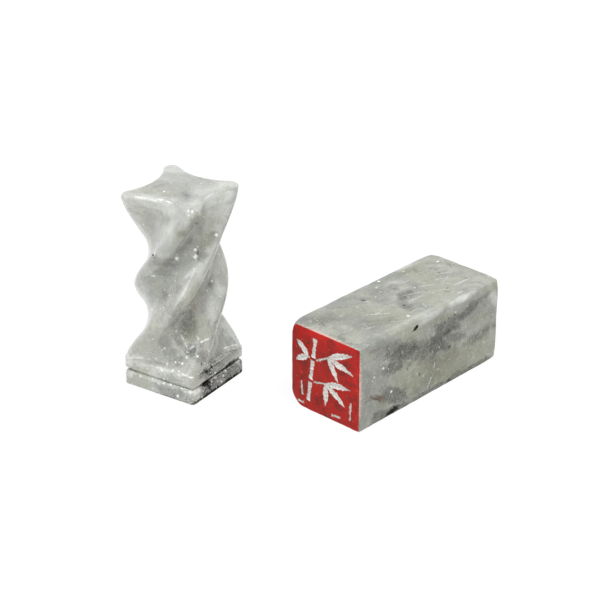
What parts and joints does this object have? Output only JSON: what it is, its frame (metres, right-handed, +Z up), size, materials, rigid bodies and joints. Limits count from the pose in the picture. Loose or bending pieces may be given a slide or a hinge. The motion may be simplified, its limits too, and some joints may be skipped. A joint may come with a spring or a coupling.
{
  "type": "seal stamp",
  "caption": "Carved stone seal stamps: a square block lying on its side with a red painted, carved end, and a twisted four-ridged stone on a grooved square foot.",
  "frame": {"origin": "middle of the pair's footprint, on the table that both seals rest on", "axes": "+Z up, +X along the block seal from its carved red end to its plain end, +Y from the block seal towards the twisted seal"},
  "size_m": [0.0716, 0.0598, 0.0494],
  "materials": {
    "block_stone": "ground and lightly polished grey veined marble",
    "twisted_stone": "polished grey veined marble",
    "red_paint": "satin red paint film"
  },
  "bodies": {
    "block": {"block_seal": "block_stone", "red_face_paint": "red_paint"},
    "twisted": {"twisted_seal": "twisted_stone"}
  },
  "joints": [
    {"name": "twisted_lift", "type": "slide", "parent": "block", "child": "twisted", "axis": [0, 0, 1], "range_m": [0, 0.06]}
  ]
}
